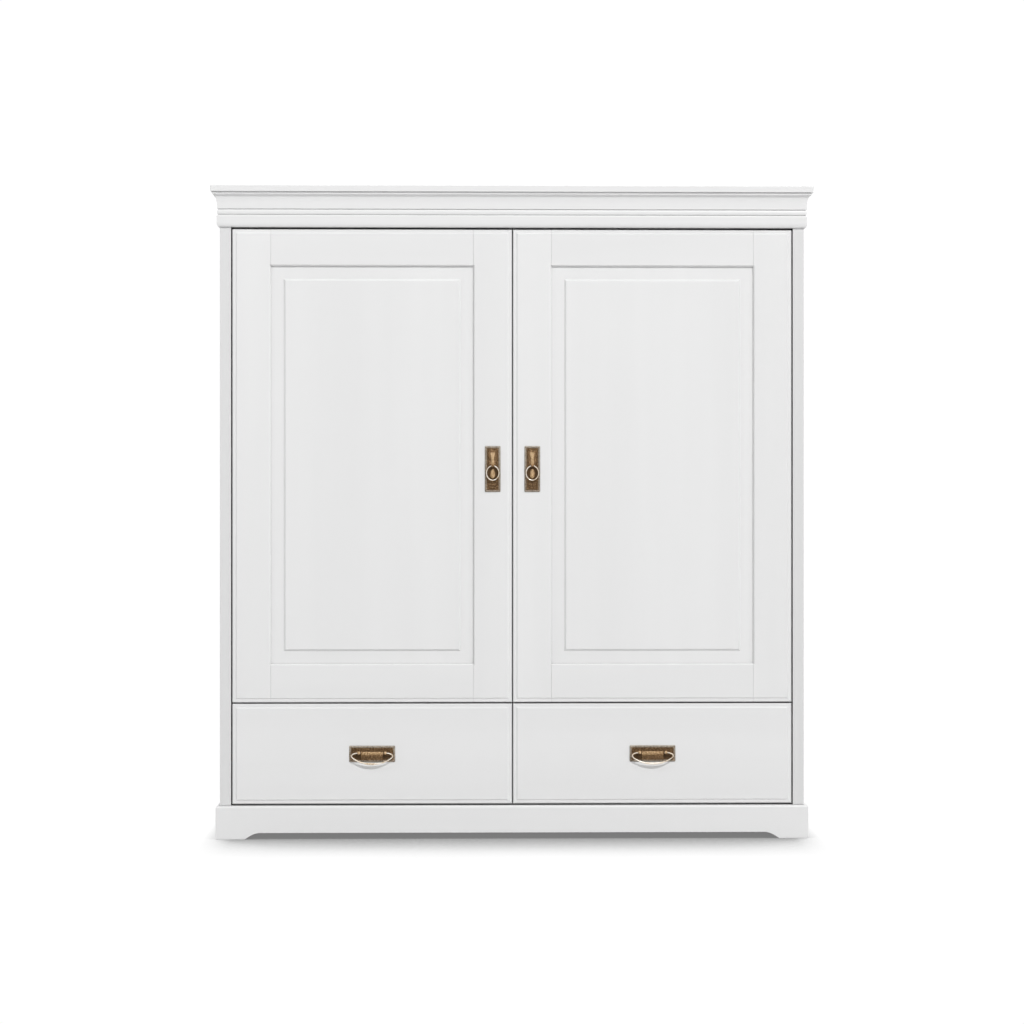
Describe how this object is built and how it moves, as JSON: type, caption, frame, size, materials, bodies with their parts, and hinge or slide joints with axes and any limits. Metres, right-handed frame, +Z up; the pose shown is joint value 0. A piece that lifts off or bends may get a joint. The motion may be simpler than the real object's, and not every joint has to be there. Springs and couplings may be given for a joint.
{
  "type": "wardrobe",
  "caption": "White painted wardrobe with framed doors over drawers, moulded cornice, bracket-foot plinth and antique brass pulls.",
  "frame": {"origin": "on the floor, under the middle of the wardrobe's box", "axes": "+Z up, +Y from the doors towards the back, +X to the right seen from the front"},
  "size_m": [1.504, 0.582, 1.629],
  "materials": {
    "white_lacquer": "satin white paint on wood",
    "white_backing": "matt white faced fibreboard",
    "beech": "clear matt varnish",
    "antique_brass": "dark antiqued, stippled",
    "pale_brass": "worn bright on the high parts",
    "nickel_steel": "nickel plated"
  },
  "bodies": {
    "root": {"left_side_panel": "white_lacquer", "right_side_panel": "white_lacquer", "top_board": "white_lacquer", "header_rail": "white_lacquer", "deck_panel": "white_lacquer", "floor_panel": "white_lacquer", "centre_partition": "white_lacquer", "drawer_partition": "white_lacquer", "back_panel": "white_backing", "cornice_front": "white_lacquer", "cornice_left": "white_lacquer", "cornice_right": "white_lacquer", "plinth_front": "white_lacquer", "plinth_left": "white_lacquer", "plinth_right": "white_lacquer", "plinth_back": "white_lacquer", "hat_shelf": "white_lacquer", "shelf_1": "white_lacquer", "shelf_2": "white_lacquer", "clothes_rail": "beech", "left_lower_hinge_arm": "nickel_steel", "left_upper_hinge_arm": "nickel_steel", "left_outer_runner": "beech", "left_inner_runner": "beech", "right_lower_hinge_arm": "nickel_steel", "right_upper_hinge_arm": "nickel_steel", "right_outer_runner": "beech", "right_inner_runner": "beech"},
    "left_door": {"left_door_hinge_stile": "white_lacquer", "left_door_meeting_stile": "white_lacquer", "left_door_top_rail": "white_lacquer", "left_door_bottom_rail": "white_lacquer", "left_door_panel": "white_lacquer", "left_lower_hinge_cup": "nickel_steel", "left_upper_hinge_cup": "nickel_steel", "left_door_pull_plate": "antique_brass"},
    "left_ring": {"left_door_pull_ring": "pale_brass"},
    "left_drawer": {"left_drawer_front": "white_lacquer", "left_drawer_outer_side": "beech", "left_drawer_inner_side": "beech", "left_drawer_back": "beech", "left_drawer_bottom": "beech", "left_drawer_pull_plate": "antique_brass"},
    "left_bail": {"left_drawer_pull_bail": "pale_brass"},
    "right_door": {"right_door_hinge_stile": "white_lacquer", "right_door_meeting_stile": "white_lacquer", "right_door_top_rail": "white_lacquer", "right_door_bottom_rail": "white_lacquer", "right_door_panel": "white_lacquer", "right_lower_hinge_cup": "nickel_steel", "right_upper_hinge_cup": "nickel_steel", "right_door_pull_plate": "antique_brass"},
    "right_ring": {"right_door_pull_ring": "pale_brass"},
    "right_drawer": {"right_drawer_front": "white_lacquer", "right_drawer_outer_side": "beech", "right_drawer_inner_side": "beech", "right_drawer_back": "beech", "right_drawer_bottom": "beech", "right_drawer_pull_plate": "antique_brass"},
    "right_bail": {"right_drawer_pull_bail": "pale_brass"}
  },
  "joints": [
    {"name": "left_door_hinge", "type": "hinge", "parent": "root", "child": "left_door", "pos_m": [-0.6755, -0.2555, 0.9315], "axis": [0, 0, -1], "range_deg": [0, 100]},
    {"name": "left_ring_swing", "type": "hinge", "parent": "left_door", "child": "left_ring", "pos_m": [-0.0495, -0.277, 0.9315], "axis": [-1, 0, 0], "range_deg": [0, 95]},
    {"name": "left_drawer_slide", "type": "slide", "parent": "root", "child": "left_drawer", "axis": [0, -1, 0], "range_m": [0, 0.38]},
    {"name": "left_bail_swing", "type": "hinge", "parent": "left_drawer", "child": "left_bail", "pos_m": [-0.3505, -0.279, 0.2145], "axis": [-1, 0, 0], "range_deg": [0, 95]},
    {"name": "right_door_hinge", "type": "hinge", "parent": "root", "child": "right_door", "pos_m": [0.6755, -0.2555, 0.9315], "axis": [0, 0, 1], "range_deg": [0, 100]},
    {"name": "right_ring_swing", "type": "hinge", "parent": "right_door", "child": "right_ring", "pos_m": [0.0495, -0.277, 0.9315], "axis": [-1, 0, 0], "range_deg": [0, 95]},
    {"name": "right_drawer_slide", "type": "slide", "parent": "root", "child": "right_drawer", "axis": [0, -1, 0], "range_m": [0, 0.38]},
    {"name": "right_bail_swing", "type": "hinge", "parent": "right_drawer", "child": "right_bail", "pos_m": [0.3505, -0.279, 0.2145], "axis": [-1, 0, 0], "range_deg": [0, 95]}
  ]
}
